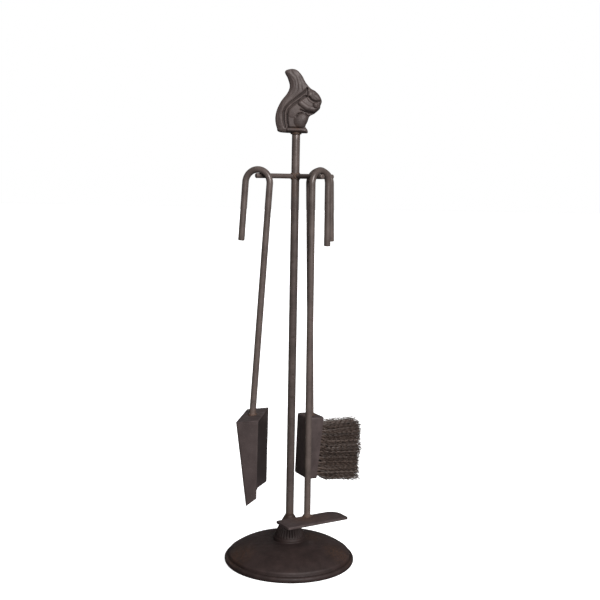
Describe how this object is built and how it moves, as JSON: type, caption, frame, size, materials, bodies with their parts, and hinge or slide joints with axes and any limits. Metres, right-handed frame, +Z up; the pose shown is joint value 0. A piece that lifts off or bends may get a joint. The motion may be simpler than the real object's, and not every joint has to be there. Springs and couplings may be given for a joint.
{
  "type": "fireplace tool set",
  "caption": "Fireplace companion set: a round cast stand with a hanger and squirrel finial, holding a hooked shovel, brush and ash rake that lift off.",
  "frame": {"origin": "the post's axis, on the plane that the base stands on", "axes": "+Z up along the post; -Y is the front, with the shovel to the left (-X) and the brush to the right (+X)"},
  "size_m": [0.1755, 0.1827, 0.6186],
  "materials": {
    "cast_iron_bronze": "satin bronze-brown coat over a fine cast grain",
    "steel_bronze": "satin bronze-brown coat on round bar",
    "sheet_bronze": "satin bronze-brown coat on folded sheet, rubbed at the edges",
    "weld_bronze": "coated weld bead, slightly rust brown",
    "zinc_steel": "zinc plated",
    "block_wood": "bare wood",
    "bristle_fibre": "coarse dark brown fibre"
  },
  "bodies": {
    "stand": {"base_casting": "cast_iron_bronze", "base_washer": "zinc_steel", "base_nut": "zinc_steel", "post": "steel_bronze", "arm_shovel": "steel_bronze", "arm_brush": "steel_bronze", "arm_rake": "steel_bronze", "arm_spare": "steel_bronze", "hanger_weld": "weld_bronze", "finial_squirrel": "cast_iron_bronze", "finial_weld": "weld_bronze"},
    "shovel": {"shovel_rod": "steel_bronze", "shovel_pan": "sheet_bronze", "shovel_back": "sheet_bronze", "shovel_weld": "weld_bronze"},
    "brush": {"brush_rod": "steel_bronze", "brush_holder": "sheet_bronze", "brush_block": "block_wood", "brush_bristles": "bristle_fibre", "brush_weld": "weld_bronze"},
    "rake": {"rake_rod": "steel_bronze", "rake_blade": "sheet_bronze", "rake_weld": "weld_bronze"}
  },
  "joints": [
    {"name": "shovel_lift", "type": "slide", "parent": "stand", "child": "shovel", "axis": [0, 0, 1], "range_m": [0, 0.11]},
    {"name": "brush_lift", "type": "slide", "parent": "stand", "child": "brush", "axis": [0, 0, 1], "range_m": [0, 0.11]},
    {"name": "rake_lift", "type": "slide", "parent": "stand", "child": "rake", "axis": [0, 0, 1], "range_m": [0, 0.11]}
  ]
}
